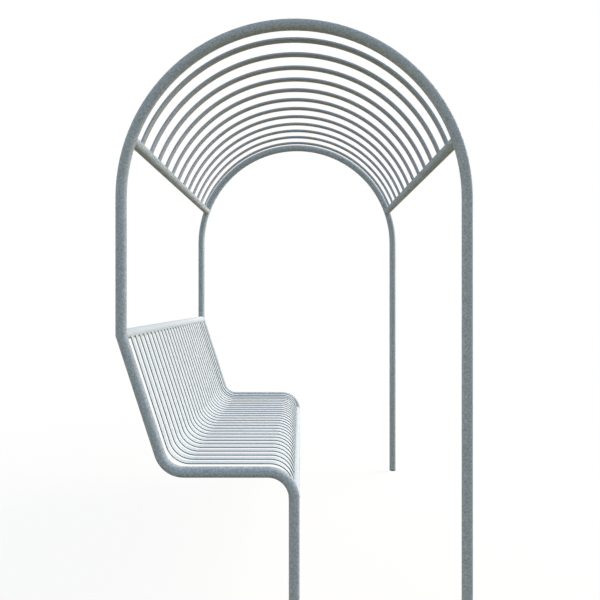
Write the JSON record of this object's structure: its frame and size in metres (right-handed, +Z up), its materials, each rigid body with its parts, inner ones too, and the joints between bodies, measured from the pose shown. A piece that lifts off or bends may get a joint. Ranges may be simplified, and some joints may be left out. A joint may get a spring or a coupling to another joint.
{
  "type": "shaded bench",
  "caption": "Welded steel bench inside a pair of tall arches: a slatted seat and back cantilever from bent tubes, under an open slatted canopy.",
  "frame": {"origin": "on the ground, midway between the two side frames and under the middle of the arches", "axes": "+X across the arches from the seat towards the open side, +Y along the bench from the near frame to the far frame, +Z up"},
  "size_m": [1.2, 1.5, 1.9798],
  "materials": {
    "zinc_tube": "matte zinc-grey metal coat with a fine mottled grain",
    "zinc_slat": "matte zinc-grey metal coat with a fine mottled grain",
    "foot_steel": "dark zinc-coated steel, satin"
  },
  "bodies": {
    "root": {"near_arch_tube": "zinc_tube", "far_arch_tube": "zinc_tube", "near_seat_tube": "zinc_tube", "far_seat_tube": "zinc_tube", "back_rail": "zinc_tube", "front_rail": "zinc_tube", "rear_shade_rail": "zinc_tube", "front_shade_rail": "zinc_tube", "near_front_foot": "foot_steel", "far_front_foot": "foot_steel", "near_arch_foot": "foot_steel", "far_arch_foot": "foot_steel", "seat_slat_01": "zinc_slat", "seat_slat_02": "zinc_slat", "seat_slat_03": "zinc_slat", "seat_slat_04": "zinc_slat", "seat_slat_05": "zinc_slat", "seat_slat_06": "zinc_slat", "seat_slat_07": "zinc_slat", "seat_slat_08": "zinc_slat", "seat_slat_09": "zinc_slat", "seat_slat_10": "zinc_slat", "seat_slat_11": "zinc_slat", "seat_slat_12": "zinc_slat", "seat_slat_13": "zinc_slat", "seat_slat_14": "zinc_slat", "seat_slat_15": "zinc_slat", "seat_slat_16": "zinc_slat", "seat_slat_17": "zinc_slat", "seat_slat_18": "zinc_slat", "seat_slat_19": "zinc_slat", "seat_slat_20": "zinc_slat", "seat_slat_21": "zinc_slat", "seat_slat_22": "zinc_slat", "seat_slat_23": "zinc_slat", "seat_slat_24": "zinc_slat", "seat_slat_25": "zinc_slat", "seat_slat_26": "zinc_slat", "seat_slat_27": "zinc_slat", "shade_slat_01": "zinc_slat", "shade_slat_02": "zinc_slat", "shade_slat_03": "zinc_slat", "shade_slat_04": "zinc_slat", "shade_slat_05": "zinc_slat", "shade_slat_06": "zinc_slat", "shade_slat_07": "zinc_slat", "shade_slat_08": "zinc_slat", "shade_slat_09": "zinc_slat", "shade_slat_10": "zinc_slat", "shade_slat_11": "zinc_slat", "shade_slat_12": "zinc_slat"}
  },
  "joints": []
}
